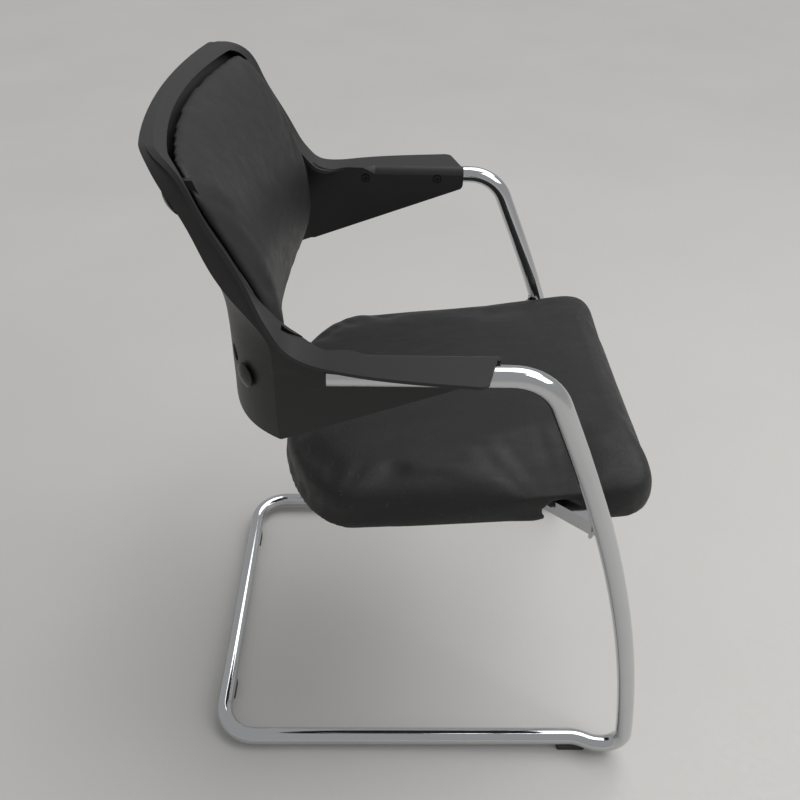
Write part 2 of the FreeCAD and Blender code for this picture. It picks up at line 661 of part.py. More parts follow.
CORNER = size("back_top_corner")
SIDE_RIM = size("rim_width")
TOP_RIM = size("rim_top_width")
STRIP_LOW = ARM_TOP + 0.074 * RISE
wall_block = rounded_front(0, wall_half, BACK_TOP, SHELL_LOW, CORNER)
wall_inside = rounded_front(0, lambda height: wall_half(height) - WALL, BACK_TOP - WALL, SHELL_LOW - WALL,
                            CORNER - WALL)
strip_prism = rounded_front(0, strip_half, BACK_TOP, STRIP_LOW, CORNER)
opening_half = TOP_HALF - SIDE_RIM
opening = rounded_front(0, lambda height: opening_half, BACK_TOP - TOP_RIM, SHELL_LOW - WALL, CORNER - TOP_RIM)

# Side view: level lower edge at the rear, rising along the webs to the front of the arms.
SLOPE = math.tan(math.radians(size("web_slope")))
WEB_LOW_Z = ARM_TOP - size("web_front_depth")
WEB_KNEE_Y = size("arm_front") + (WEB_LOW_Z - SHELL_LOW) / SLOPE
side_corners = [Vector(-FAR, WEB_KNEE_Y, SHELL_LOW), Vector(-FAR, size("arm_front") - 20.0, WEB_LOW_Z - 20.0 * -SLOPE),
                Vector(-FAR, size("arm_front") - 20.0, BACK_TOP + WALL), Vector(-FAR, FAR, BACK_TOP + WALL),
                Vector(-FAR, FAR, SHELL_LOW)]
side_prism = Part.Face(Part.makePolygon(side_corners + side_corners[:1])).extrude(Vector(2 * FAR, 0, 0))

front_room = Part.makeBox(2 * FAR, FAR, 2 * BACK_TOP, Vector(-FAR, SWEEP_Y - 16.0, 0))
rear_room = rear_face(0.0).extrude(Vector(0, -FAR, 0))
inner_room = rear_face(WALL).extrude(Vector(0, -FAR, 0))
tray = wall_block.common(rear_room).common(front_room).common(side_prism).cut(rim_space)
tray = tray.cut(wall_inside.common(front_room).common(inner_room))


def half_arm_outline():
    """Plan outline of the sweep and the armrest plate, left side."""
    front_y = size("arm_front")
    wide = size("arm_front_half")
    inner = WEB_FACE_X
    sweep = SWEEP_Y
    low = SHELL_LOW
    seam_y = rim_y(STRIP_LOW)
    seam_out = strip_half(STRIP_LOW)
    span = sweep - front_y
    outer = [Vector(-strip_half(STRIP_LOW + 14.0), rim_y(STRIP_LOW + 14.0), low), Vector(-seam_out, seam_y, low),
             Vector(-0.5 * (seam_out + size("arm_rear_half")) - 0.5, 0.55 * seam_y + 0.45 * sweep, low),
             Vector(-size("arm_rear_half"), sweep, low),
             Vector(-size("arm_rear_half") - 0.33 * (wide - size("arm_rear_half")), sweep - 0.17 * span, low),
             Vector(-size("arm_rear_half") - 0.72 * (wide - size("arm_rear_half")), sweep - 0.49 * span, low),
             Vector(-wide + 0.6, front_y + 27.0, low)]
    nose = Vector(-wide + 9.0, front_y + 13.5, low)
    outer_curve = curve(outer)
    inner_front = Vector(-inner, front_y, low)
    inner_line = [Vector(-inner, sweep - 12.0, low), Vector(-inner + 1.5, sweep + 2.0, low),
                  Vector(-opening_half - 11.0, 0.55 * sweep + 0.45 * seam_y, low),
                  Vector(-opening_half - 2.0, seam_y - 8.0, low), Vector(-opening_half, seam_y + 2.0, low),
                  Vector(-opening_half, rim_y(STRIP_LOW + 14.0), low)]
    wire = Part.Wire([outer_curve, arc(outer[-1], Vector(-wide + 2.2, front_y + 17.5, low), nose),
                      line(nose, inner_front), line(inner_front, inner_line[0]), curve(inner_line),
                      line(inner_line[-1], outer[0])])
    return Part.Face(wire).extrude(Vector(0, 0, STRIP_LOW - SHELL_LOW))


PLATE = size("plate_over_tube") - 2 * CLEAR
skin = skin_under_rim(PLATE / math.sqrt(0.5))
rim_ring = skin.common(strip_prism).cut(opening)
left_plate = skin.common(half_arm_outline())


def arm_web():
    """Upright web inside the tube, left side, with a gusset under the plate and the screw bosses."""
    front_y = size("arm_front")
    top = ARM_TOP - 0.5 * PLATE
    corner = size("web_corner")
    rear_end = SWEEP_Y + 2 * WALL
    x = -WEB_OUT_X
    low_front = WEB_LOW_Z - corner * SLOPE
    turn = corner * 0.29
    points = [Vector(x, front_y, top), Vector(x, front_y, low_front + corner),
              Vector(x, front_y + corner, low_front), Vector(x, front_y + corner, SHELL_LOW - 5.0),
              Vector(x, rear_end, SHELL_LOW - 5.0), Vector(x, rear_end, top)]
    wire = Part.Wire([line(points[0], points[1]),
                      arc(points[1], Vector(x, front_y + turn, low_front + turn), points[2]),
                      line(points[2], points[3]), line(points[3], points[4]), line(points[4], points[5]),
                      line(points[5], points[0])])
    web = Part.Face(wire).extrude(Vector(WALL, 0, 0)).common(side_prism)
    under = ARM_TOP - 0.5 * PLATE
    reach = ARM_ROUND - 0.5 * WALL
    gusset = Part.makePolygon([Vector(x + 1.0, front_y, under), Vector(x - reach, front_y, under),
                               Vector(x + 1.0, front_y, under - reach - WALL), Vector(x + 1.0, front_y, under)])
    web = web.fuse(Part.Face(gusset).extrude(Vector(0, rear_end - front_y, 0)))
    for screw_y in SCREW_YS:
        boss = cylinder(size("arm_screw_recess") / 2 + 2.0, size("web_standoff") - 0.5 * WALL,
                        Vector(-WEB_OUT_X + 0.5 * WALL, screw_y, ARM_Z), Vector(-1, 0, 0))
        web = web.fuse(boss)
    return web


def edge_cutter(start, way, length):
    """Bar that rounds the edge between the web's inner face and the arm's top; way is its direction."""
    corner = Vector(-WEB_FACE_X, start.y, ARM_TOP) + start - Vector(0, start.y, 0)
    over = 6.0
    reach = ARM_ROUND
    turn = reach * (1 - math.sqrt(0.5))
    lip = 0.04 * reach
    high_end = corner + Vector(-reach - lip, 0, lip)
    low_end = corner + Vector(lip, 0, -reach - lip)
    wire = Part.Wire([line(corner + Vector(over, 0, over), Vector(high_end.x, high_end.y, corner.z + over)),
                      line(Vector(high_end.x, high_end.y, corner.z + over), high_end),
                      arc(high_end, corner + Vector(-turn - lip, 0, -turn - lip), low_end),
                      line(low_end, Vector(corner.x + over, low_end.y, low_end.z)),
                      line(Vector(corner.x + over, low_end.y, low_end.z), corner + Vector(over, 0, over))])
    return Part.Face(wire).extrude(way * length)


straight = SWEEP_Y - size("arm_front") - 4.0 * ARM_ROUND
left_side = left_plate.fuse(arm_web().cut(rim_space))
left_side = left_side.cut(edge_cutter(Vector(0, size("arm_front") - 1.0, 0), Vector(0, 1, 0), straight + 1.0))
left_side = left_side.cut(edge_cutter(Vector(0, size("arm_front") + straight, 0), Vector(0.2, 1, 0.2), 8 * ARM_ROUND))
shell = tray.fuse(rim_ring).fuse(left_side).fuse(mirrored(left_side))
shell = shell.cut(swept_tube(TUBE_RADIUS + CLEAR))
for side in (-1, 1):
    shell = shell.cut(cylinder(TUBE_RADIUS + CLEAR, 3.0 * WALL,
                               Vector(side * ARM_X, size("arm_tube_rear") - 1.5 * WALL, ARM_Z), Vector(0, 1, 0)))

# Screws through the webs into the arm tubes, with rivet nuts in the tube wall.
arm_bolts = {-1: [], 1: []}
rivet_nuts = {-1: [], 1: []}
for screw_y in SCREW_YS:
    axis = Vector(-1, 0, 0)
    face = Vector(-WEB_FACE_X, screw_y, ARM_Z)
    shell = shell.cut(cylinder(BOLT / 2 + 2 * CLEAR, ARM_X, face + Vector(10, 0, 0), axis))
    seat_depth = size("bolt_head_height") * 0.8
    recess_cut = cylinder(size("arm_screw_recess") / 2, seat_depth + 10.0, face + Vector(10, 0, 0), axis)
    shell = shell.cut(recess_cut).cut(mirrored(recess_cut))
    clearance_hole = cylinder(BOLT / 2 + 2 * CLEAR, ARM_X, face + Vector(10, 0, 0), axis)
    shell = shell.cut(mirrored(clearance_hole))
    seat_x = face + axis * seat_depth
    head = cylinder(size("bolt_head_diameter") / 2 - 1.0, size("bolt_head_height"), seat_x, Vector(1, 0, 0))
    hexagon = cylinder(BOLT / 3, size("bolt_head_height") * 0.6,
                       seat_x + Vector(size("bolt_head_height") * 0.4, 0, 0), Vector(1, 0, 0))
    shank_length = size("web_standoff") - seat_depth + size("tube_wall") + 5.0
    shank = cylinder(BOLT / 2, shank_length, seat_x, axis)
    bolt = head.fuse(shank).cut(hexagon).removeSplitter()
    sleeve_start = Vector(-ARM_X + TUBE_RADIUS - 0.6, screw_y, ARM_Z)
    sleeve = cylinder(BOLT / 2 + 1.0 - CLEAR, 7.0, sleeve_start, axis)
    sleeve = sleeve.cut(cylinder(BOLT / 2 + CLEAR / 2, 9.0, sleeve_start + Vector(1, 0, 0), axis))
    arm_bolts[-1].append(bolt)
    arm_bolts[1].append(mirrored(bolt))
    rivet_nuts[-1].append(sleeve)
    rivet_nuts[1].append(mirrored(sleeve))

# Back pad: a board, a foam block and a leather skin, set in the rim.
PAD_TOP = BACK_TOP - TOP_RIM - size("pad_gap")
PAD_LOW = SHELL_LOW + size("pad_bottom_rise")
PAD_HALF = size("pad_half_width")
RIDGE = size("pad_ridge_half")
PAD_CORNER = CORNER - TOP_RIM
BACK_BOW = size("back_plan_curve")


def pad_front_y(height):
    """Y of the pad's front face along its side ridge: upright low down, raked at the top."""
    low = PAD_LOW + 0.25 * (PAD_TOP - PAD_LOW)
    return size("pad_front_place") + 0.00195 * max(height - low, 0) ** 2 + 0.004 * max(low - height, 0) ** 1.6


def pad_rear_y(x, height):
    """Y of the pad's rear face: against the rim above the arms, upright below them."""
    lowest = ARM_TOP + 0.2 * RISE
    rim_here = rim_y(max(height, lowest)) + 0.12 * min(height - lowest, 0)
    bow = max(rim_bow(max(height, lowest)), 0.8 * BACK_BOW)
    return rim_here + bow * (TOP_HALF ** 2 - x ** 2) + size("pad_seat_depth")


def pad_section(x, inset):
    """Upright section of the pad at a distance from its middle line."""
    past = max(abs(x) - (PAD_HALF - PAD_CORNER), 0) / PAD_CORNER
    high = PAD_TOP - inset - PAD_CORNER * (1 - math.sqrt(1 - 0.96 * min(past, 1.0) ** 2))
    share = min(abs(x) / PAD_HALF, 1.0)
    low = PAD_LOW + inset + 14.0 * (abs(x) / RIDGE) ** 2 + 40.0 * share ** 7
    curve_in = 0.85 * BACK_BOW * (RIDGE ** 2 - min(abs(x), RIDGE) ** 2)
    flare = max(abs(x) - RIDGE, 0) / (PAD_HALF - RIDGE)
    front = []
    back = []
    count = 8
    for index in range(count):
        height = low + (high - low) * index / (count - 1)
        rear = pad_rear_y(x, height)
        face = pad_front_y(height) + curve_in + inset
        edge_gap = (high - height) / (high - low)
        face += 4.0 * max(1 - 7 * edge_gap, 0) + 10.0 * max(1 - 7 * (1 - edge_gap), 0)
        face += flare ** 1.5 * max(rear - size("pad_edge_thickness") - face, 0)
        face = min(face, rear - size("pad_edge_thickness") + inset)
        front.append(Vector(x, face, height))
        back.append(Vector(x, rear - inset, height))
    top_mid = Vector(x, (front[-1].y + back[-1].y) / 2, high + 1.5)
    low_mid = Vector(x, (front[0].y + back[0].y) / 2, low - 3.0)
    return Part.Wire([curve(front), arc(front[-1], top_mid, back[-1]), curve(list(reversed(back))),
                      arc(back[0], low_mid, front[0])])


def pad_solid(inset):
    shares = (-1.0, -0.975, -0.93, -0.857, -0.7, -0.42, -0.15, 0.15, 0.42, 0.7, 0.857, 0.93, 0.975, 1.0)
    wires = [pad_section(share * (PAD_HALF - inset), inset) for share in shares]
    return Part.makeLoft(wires, True, False)


def pad_board():
    """Moulded board behind the foam, curved like the pad's rear face."""
    thick = size("pad_board_thickness")
    half = size("pad_board_half")
    low = PAD_LOW + 20.0
    high = PAD_TOP - 14.0
    wires = []
    for share in (-1.0, -0.5, 0.0, 0.5, 1.0):
        x = share * half
        rear = []
        front = []
        for index in range(6):
            height = low + (high - low) * index / 5
            y = pad_rear_y(x, height)
            rear.append(Vector(x, y, height))
            front.append(Vector(x, y - thick, height))
        wires.append(Part.Wire([curve(rear), line(rear[-1], front[-1]), curve(list(reversed(front))),
                                line(front[0], rear[0])]))
    return Part.makeLoft(wires, True, False)


pad_outer = pad_solid(0.0)
pad_core = pad_solid(size("leather_thickness"))
print("pad", pad_outer.Volume, pad_outer.isValid(), pad_core.Volume, pad_core.isValid())
board_block = pad_board().common(pad_core)
board_block = max(board_block.Solids, key=lambda solid: solid.Volume)
outline_block = wall_block.common(rear_room).common(front_room)


def rearmost(shape, x, z):
    """Largest Y at which a line along Y meets a shape."""
    reach = 2 * size("frame_depth")
    hit = shape.common(line(Vector(x, -reach, z), Vector(x, reach, z)))
    return max(vertex.Point.y for vertex in hit.Vertexes)


def rear_normal(x, z):
    """Outward direction of the shell's rear face, and the point on it."""
    step = 3.0
    point = Vector(x, rearmost(outline_block, x, z), z)
    aside = Vector(2 * step, rearmost(outline_block, x + step, z) - rearmost(outline_block, x - step, z), 0)
    above = Vector(0, rearmost(outline_block, x, z + step) - rearmost(outline_block, x, z - step), 2 * step)
    normal = above.cross(aside).normalize()
    return point, normal


def cap_at(point, normal):
    """Round domed cap on a short collar, with a stem that plugs into the shell."""
    stand = size("cap_stand")
    half = size("cap_diameter") / 2
    edge = 0.25 * size("cap_height")
    rise = size("cap_height") - edge
    dome = (half ** 2 + rise ** 2) / (2 * rise)
    ball = Part.makeSphere(dome, Vector(0, 0, stand + edge + rise - dome))
    cap = cylinder(half, size("cap_height"), Vector(0, 0, stand)).common(ball)
    cap = cap.fuse(cylinder(size("cap_stem_diameter") / 2 - CLEAR, stand + 3.0 + edge, Vector(0, 0, -3.0)))
    cap = cap.removeSplitter()
    cap.Placement = Placement(point, Rotation(Vector(0, 0, 1), normal))
    return cap


# Pad screws: two under the upper caps, two deep in the open access holes below.
back_bolts = []
inserts = []
caps = []
pad_leather = pad_outer.cut(pad_core)
pad_foam = pad_core.cut(board_block)
back_board = board_block
floor = size("shell_wall")
spots = [(size("cap_upper_x"), BACK_TOP - size("cap_upper_drop"), size("cap_stem_diameter"), True),
         (size("access_hole_x"), BACK_TOP - size("access_hole_drop"), size("access_hole_diameter"), False)]
for spot_x, spot_z, recess_diameter, capped in spots:
    for side in (-1, 1):
        x = side * spot_x
        rear = rearmost(outline_block, x, spot_z)
        seat_y = rearmost(pad_outer, x, spot_z) + 3 * CLEAR
        at_pad = Vector(x, seat_y, spot_z)
        back_way = Vector(0, 1, 0)
        boss = cylinder(recess_diameter / 2 + 2.5, rear - seat_y + 20, at_pad, back_way).common(outline_block)
        shell = shell.fuse(boss)
        shell = shell.cut(cylinder(BOLT / 2 + 2 * CLEAR, 80, at_pad - back_way * 2, back_way))
        head_y = seat_y + min(floor, 0.5 * (rear - seat_y))
        shell = shell.cut(cylinder(recess_diameter / 2, 60, Vector(x, head_y, spot_z), back_way))
        head = cylinder(size("bolt_head_diameter") / 2, size("bolt_head_height"), Vector(x, head_y, spot_z), back_way)
        hexagon = cylinder(BOLT / 3, 10, Vector(x, head_y + size("bolt_head_height") * 0.4, spot_z), back_way)
        board_y = rearmost(board_block, x, spot_z)
        tip_y = board_y - size("insert_length")
        shank = cylinder(BOLT / 2, head_y - tip_y, Vector(x, tip_y, spot_z), back_way)
        back_bolts.append(head.fuse(shank).cut(hexagon).removeSplitter())
        sleeve = cylinder(size("insert_diameter") / 2, size("insert_length"), Vector(x, tip_y, spot_z), back_way)
        pocket = cylinder(size("insert_diameter") / 2 + CLEAR / 2, 60, Vector(x, tip_y, spot_z), back_way)
        inserts.append(sleeve.cut(cylinder(BOLT / 2 + CLEAR / 2, 60, Vector(x, tip_y - 5, spot_z), back_way)))
        back_board = back_board.cut(pocket)
        pad_leather = pad_leather.cut(pocket)
        pad_foam = pad_foam.cut(pocket)
        if capped:
            point, normal = rear_normal(x, spot_z)
            caps.append(cap_at(point, normal))
            shell = shell.cut(cylinder(size("cap_stem_diameter") / 2, 12, point - normal * 3.2, normal))
for side in (-1, 1):
    point, normal = rear_normal(side * size("cap_lower_x"), BACK_TOP - size("cap_lower_drop"))
    caps.append(cap_at(point, normal))
    shell = shell.cut(cylinder(size("cap_stem_diameter") / 2, 30, point - normal * 9, normal))
shell = max(shell.Solids, key=lambda solid: solid.Volume)
add_shape("back_arm_shell", shell)
add_shape("back_pad_board", max(back_board.Solids, key=lambda solid: solid.Volume))
add_shape("back_pad_foam", max(pad_foam.Solids, key=lambda solid: solid.Volume))
add_shape("back_pad_leather", max(pad_leather.Solids, key=lambda solid: solid.Volume))
add_shape("back_bolts", Part.makeCompound(back_bolts))
add_shape("back_inserts", Part.makeCompound(inserts))
add_shape("back_caps", Part.makeCompound(caps))
add_shape("arm_bolts_left", Part.makeCompound(arm_bolts[-1]))
add_shape("arm_bolts_right", Part.makeCompound(arm_bolts[1]))
add_shape("arm_rivet_nuts_left", Part.makeCompound(rivet_nuts[-1]))
add_shape("arm_rivet_nuts_right", Part.makeCompound(rivet_nuts[1]))

# Glides: blocks under the runners and the rear bar, each held by a pin in the tube.
RUNNER_LOW = RUNNER_Z - TUBE_RADIUS
GLIDE_TOP = RUNNER_LOW + 0.35 * TUBE_RADIUS


def glide(spot, along_x, along_y):
    block = Part.makeBox(along_x, along_y, GLIDE_TOP, spot - Vector(along_x / 2, along_y / 2, 0))
    upright = [edge for edge in block.Edges if abs(edge.tangentAt(edge.FirstParameter).z) > 0.9]
    block = block.makeFillet(min(along_x, along_y) * 0.2, upright)
    return block.cut(OUTER_TUBE)


def glide_pin(spot):
    stem = cylinder(PIN / 2, size("glide_pin_length"), spot + Vector(0, 0, RUNNER_LOW - 3.0))
    return stem


pins = []
for side, word in ((-1, "left"), (1, "right")):
    front = Vector(side * RUNNER_X, size("front_glide_place"), 0)
    rear = Vector(side * size("rear_glide_x"), REAR_BAR_Y, 0)
    for label, spot, wide, deep in (("front_glide_", front, size("front_glide_width"), size("front_glide_length")),
                                    ("rear_glide_", rear, size("rear_glide_length"), size("front_glide_width"))):
        pin = glide_pin(spot)
        add_shape(label + word, glide(spot, wide, deep).cut(cylinder(PIN / 2 + CLEAR / 2, 20,
                                                                   spot + Vector(0, 0, RUNNER_LOW - 3.0))))
        pins.append(pin)
add_shape("glide_pins", Part.makeCompound(pins))

# Check every object, then write each sub-part to its own file.
doc.recompute()
names = []
for item in doc.Objects:
    if "Invalid" in item.State or "Error" in item.State:
        raise RuntimeError("failed: " + item.Label)
    if item.TypeId in ("PartDesign::Body", "Part::Feature"):
        names.append(item)
for item in names:
    if item.Shape.isNull() or not item.Shape.isValid() or item.Shape.Volume <= 0:
        raise RuntimeError("bad shape: " + item.Label)
for item in names:
    item.Shape.exportStep("parts/" + item.Label + ".step")
    print("%-22s %2d solids %10.0f mm3" % (item.Label, len(item.Shape.Solids), item.Shape.Volume))
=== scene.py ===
"""Looks of the cantilever armchair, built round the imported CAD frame. Metres, +Z up, front to -Y."""
import math

import bmesh
import bpy
import numpy as np
from mathutils import Matrix, Vector, noise


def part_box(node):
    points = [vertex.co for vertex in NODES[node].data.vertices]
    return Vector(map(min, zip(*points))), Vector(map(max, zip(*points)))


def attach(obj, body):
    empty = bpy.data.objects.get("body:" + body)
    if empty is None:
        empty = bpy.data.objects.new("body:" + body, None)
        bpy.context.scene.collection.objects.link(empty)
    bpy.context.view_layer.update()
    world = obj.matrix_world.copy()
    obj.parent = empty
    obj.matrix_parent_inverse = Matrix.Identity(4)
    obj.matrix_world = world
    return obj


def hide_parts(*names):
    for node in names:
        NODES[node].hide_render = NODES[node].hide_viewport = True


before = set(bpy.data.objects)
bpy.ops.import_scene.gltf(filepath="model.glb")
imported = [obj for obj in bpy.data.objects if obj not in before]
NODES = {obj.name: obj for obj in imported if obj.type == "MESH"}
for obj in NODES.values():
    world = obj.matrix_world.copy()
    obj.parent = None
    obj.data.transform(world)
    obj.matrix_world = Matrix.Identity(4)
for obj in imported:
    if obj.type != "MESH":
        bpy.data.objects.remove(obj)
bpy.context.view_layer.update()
scene = bpy.context.scene


# Materials
class Nodes:
    """Short calls for building one material's node tree."""

    # Places of the colour sockets on a Mix node
    FIRST_COLOUR = 6
    SECOND_COLOUR = 7
    MIXED_COLOUR = 2

    def __init__(self, name):
        self.material = bpy.data.materials.new(name)
        self.material.use_nodes = True
        self.tree = self.material.node_tree
        self.shader = self.tree.nodes["Principled BSDF"]
        self.place = self.add("ShaderNodeTexCoord").outputs["Object"]

    def add(self, kind, **settings):
        node = self.tree.nodes.new(kind)
        for key, value in settings.items():
            setattr(node, key, value)
        return node

    def link(self, source, target):
        self.tree.links.new(source, target)

    def put(self, socket, value):
        """Links a socket to the value, or sets it where the value is a number or a colour."""
        if isinstance(value, bpy.types.NodeSocket):
            self.link(value, socket)
        else:
            socket.default_value = value

    def stretched(self, x, y, z, turn=(0, 0, 0)):
        """Object coordinates scaled along each axis and turned."""
        node = self.add("ShaderNodeMapping")
        self.link(self.place, node.inputs["Vector"])
        node.inputs["Rotation"].default_value = turn
        node.inputs["Scale"].default_value = (x, y, z)
        return node.outputs["Vector"]

    def noise(self, scale, detail=4.0, rough=0.55, vector=None, twist=0.0):
        node = self.add("ShaderNodeTexNoise")
        self.link(vector or self.place, node.inputs["Vector"])
        node.inputs["Scale"].default_value = scale
        node.inputs["Detail"].default_value = detail
        node.inputs["Roughness"].default_value = rough
        node.inputs["Distortion"].default_value = twist
        return node.outputs["Fac"]

    def cells(self, scale, feature="F1", vector=None):
        node = self.add("ShaderNodeTexVoronoi", feature=feature)
        self.link(vector or self.place, node.inputs["Vector"])
        node.inputs["Scale"].default_value = scale
        return node.outputs["Distance"]

    def span(self, value, low, high, new_low=0.0, new_high=1.0):
        """The value's range from low to high, mapped with soft ends to new_low to new_high."""
        node = self.add("ShaderNodeMapRange", interpolation_type="SMOOTHSTEP")
        self.put(node.inputs["Value"], value)
        node.inputs["From Min"].default_value = low
        node.inputs["From Max"].default_value = high
        node.inputs["To Min"].default_value = new_low
        node.inputs["To Max"].default_value = new_high
        return node.outputs["Result"]

    def math(self, operation, first, second=0.0):
        node = self.add("ShaderNodeMath", operation=operation)
        self.put(node.inputs[0], first)
        self.put(node.inputs[1], second)
        return node.outputs["Value"]

    def blend(self, factor, first, second):
        """Colour between two colours, each a socket or red, green and blue."""
        node = self.add("ShaderNodeMix", data_type="RGBA")
        self.put(node.inputs["Factor"], factor)
        for place, colour in ((self.FIRST_COLOUR, first), (self.SECOND_COLOUR, second)):
            linked = isinstance(colour, bpy.types.NodeSocket)
            self.put(node.inputs[place], colour if linked else (*colour, 1))
        return node.outputs[self.MIXED_COLOUR]

    def axis(self, name):
        node = self.add("ShaderNodeSeparateXYZ")
        self.link(self.place, node.inputs["Vector"])
        return node.outputs[name]

    def bump(self, height, distance, strength=1.0, below=None):
        """Surface normal from a height, on top of the relief below."""
        node = self.add("ShaderNodeBump")
        node.inputs["Strength"].default_value = strength
        node.inputs["Distance"].default_value = distance
        self.put(node.inputs["Height"], height)
        if below is not None:
            self.link(below, node.inputs["Normal"])
        return node.outputs["Normal"]

    def finish(self, colour, rough, normal, **fixed):
        """The material, with its shader linked and its constant sockets set."""
        self.put(self.shader.inputs["Base Color"], colour)
        self.put(self.shader.inputs["Roughness"], rough)
        self.link(normal, self.shader.inputs["Normal"])
        for key, value in fixed.items():
            self.shader.inputs[key.replace("_", " ")].default_value = value
        return self.material


def chrome():
    """Polished chrome with soft clouds, faint streaks along Y and small dull specks."""
    n = Nodes("chrome")
    cloud = n.noise(9.0, detail=3.0)
    streaks = n.noise(60.0, detail=5.0, rough=0.7, vector=n.stretched(9, 1, 9))
    specks = n.span(n.noise(420.0, detail=2.0), 0.68, 0.78)
    colour = n.blend(cloud, (0.55, 0.56, 0.57), (0.63, 0.64, 0.65))
    colour = n.blend(n.math("MULTIPLY", specks, 0.25), colour, (0.45, 0.44, 0.42))
    rough = n.math("ADD", n.span(streaks, 0.3, 0.75, 0.05, 0.11), n.math("MULTIPLY", specks, 0.12))
    fine = n.bump(streaks, distance=0.00004, strength=0.4)
    normal = n.bump(n.noise(26.0, detail=2.0), distance=0.0004, strength=0.25, below=fine)
    return n.finish(colour, rough, normal, Metallic=1.0)


def zinc():
    """Bright zinc plating with a fine spangle."""
    n = Nodes("zinc")
    grain = n.noise(340.0)
    spangle = n.cells(260.0)
    colour = n.blend(spangle, (0.50, 0.51, 0.52), (0.66, 0.67, 0.68))
    rough = n.span(grain, 0.3, 0.7, 0.26, 0.42)
    return n.finish(colour, rough, n.bump(grain, distance=0.00006, strength=0.5), Metallic=1.0)


def oxide():
    """Blackened steel in slightly uneven patches."""
    n = Nodes("black_oxide")
    grain = n.noise(500.0)
    patches = n.noise(45.0, detail=3.0)
    colour = n.blend(patches, (0.030, 0.030, 0.032), (0.060, 0.058, 0.056))
    rough = n.span(grain, 0.3, 0.7, 0.38, 0.55)
    return n.finish(colour, rough, n.bump(grain, distance=0.00005, strength=0.6), Metallic=1.0)


def plastic(name, dark, light, low, high, grain_scale=900.0):
    """Moulded plastic with a fine spark-eroded grain and faint handling marks, low to high in roughness."""
    n = Nodes(name)
    grain = n.noise(grain_scale, detail=3.0, rough=0.6)
    clouds = n.noise(13.0, detail=3.0)
    rubs = n.noise(55.0, detail=6.0, rough=0.65, vector=n.stretched(1, 0.25, 1), twist=0.4)
    marks = n.span(rubs, 0.62, 0.75)
    mark_colour = tuple(3.2 * part for part in light)
    colour = n.blend(clouds, dark, light)
    colour = n.blend(n.math("MULTIPLY", marks, 0.10), colour, mark_colour)
    rough = n.math("SUBTRACT", n.span(grain, 0.3, 0.7, low, high), n.math("MULTIPLY", marks, 0.05))
    uneven = n.bump(clouds, distance=0.0006, strength=0.08)
    normal = n.bump(grain, distance=0.00009, strength=0.55, below=uneven)
    return n.finish(colour, rough, normal, Specular_IOR_Level=0.4)


def warped_place(n, scale, amount):
    """Object coordinates pushed about by a colour noise, so that cells don't look drawn."""
    drift = n.add("ShaderNodeTexNoise")
    n.link(n.place, drift.inputs["Vector"])
    drift.inputs["Scale"].default_value = scale
    push = n.add("ShaderNodeVectorMath", operation="SCALE")
    n.link(drift.outputs["Color"], push.inputs[0])
    push.inputs["Scale"].default_value = amount
    warped = n.add("ShaderNodeVectorMath", operation="ADD")
    n.link(n.place, warped.inputs[0])
    n.link(push.outputs["Vector"], warped.inputs[1])
    return warped.outputs["Vector"]


# Where the leather is worn: nowhere at the first place, fully at the second
WORN_TO_FRONT = (-0.19, -0.245)
WORN_TO_LOW_EDGE = (0.47, 0.425)
WORN_ONLY_BELOW = (0.56, 0.5)


def leather():
    """Black leather: pebbled grain, fine creases, worn paler at the seat's front and lower edge."""
    n = Nodes("leather")
    edges = n.cells(620.0, "DISTANCE_TO_EDGE", warped_place(n, scale=260.0, amount=0.0016))
    pebble = n.span(edges, 0.0, 0.22)
    pores = n.noise(1500.0, detail=2.0)
    creases = n.noise(34.0, detail=5.0, rough=0.6, vector=n.stretched(1.6, 0.7, 1.6), twist=0.7)
    clouds = n.noise(7.0)
    tone = n.blend(clouds, (0.0095, 0.0095, 0.0095), (0.0150, 0.0150, 0.0147))
    tone = n.blend(n.span(pebble, 0.0, 1.0, 0.35, 0.0), tone, (0.008, 0.008, 0.008))
    front = n.span(n.axis("Y"), *WORN_TO_FRONT)
    low = n.span(n.axis("Z"), *WORN_TO_LOW_EDGE)
    askew = n.stretched(0.5, 3.2, 2.2, turn=(0.3, 0.2, 0.5))
    scratches = n.noise(70.0, detail=8.0, rough=0.72, vector=askew, twist=0.8)
    near_edge = n.math("MULTIPLY", n.math("MAXIMUM", front, low), n.span(n.axis("Z"), *WORN_ONLY_BELOW))
    worn = n.math("MULTIPLY", n.span(scratches, 0.60, 0.72), near_edge)
    tone = n.blend(n.math("MULTIPLY", worn, 0.42), tone, (0.20, 0.195, 0.185))
    rough = n.span(creases, 0.25, 0.75, 0.40, 0.54)
    rough = n.math("ADD", rough, n.math("MULTIPLY", worn, 0.16))
    rough = n.math("ADD", rough, n.math("MULTIPLY", n.span(pebble, 0, 1, 1, 0), 0.10))
    folds = n.bump(creases, distance=0.0011, strength=0.30)
    grain = n.math("ADD", pebble, n.math("MULTIPLY", pores, 0.35))
    normal = n.bump(grain, distance=0.00016, strength=0.65, below=folds)
    return n.finish(tone, rough, normal, Specular_IOR_Level=0.36)


def foam():
    """Yellowish open-cell foam."""
    n = Nodes("foam")
    holes = n.cells(700.0)
    colour = n.blend(n.noise(30.0), (0.62, 0.55, 0.38), (0.72, 0.66, 0.50))
    rough = n.span(holes, 0, 0.6, 0.8, 0.95)
    return n.finish(colour, rough, n.bump(holes, distance=0.0004, strength=0.8))


def plywood(name, dark, light):
    """Wood grain along Y between two tones."""
    n = Nodes(name)
    grain = n.noise(30.0, detail=6.0, rough=0.6, vector=n.stretched(8, 1, 40), twist=0.6)
    colour = n.blend(grain, dark, light)
    rough = n.span(grain, 0.3, 0.7, 0.55, 0.75)
    return n.finish(colour, rough, n.bump(grain, distance=0.0002, strength=0.5))


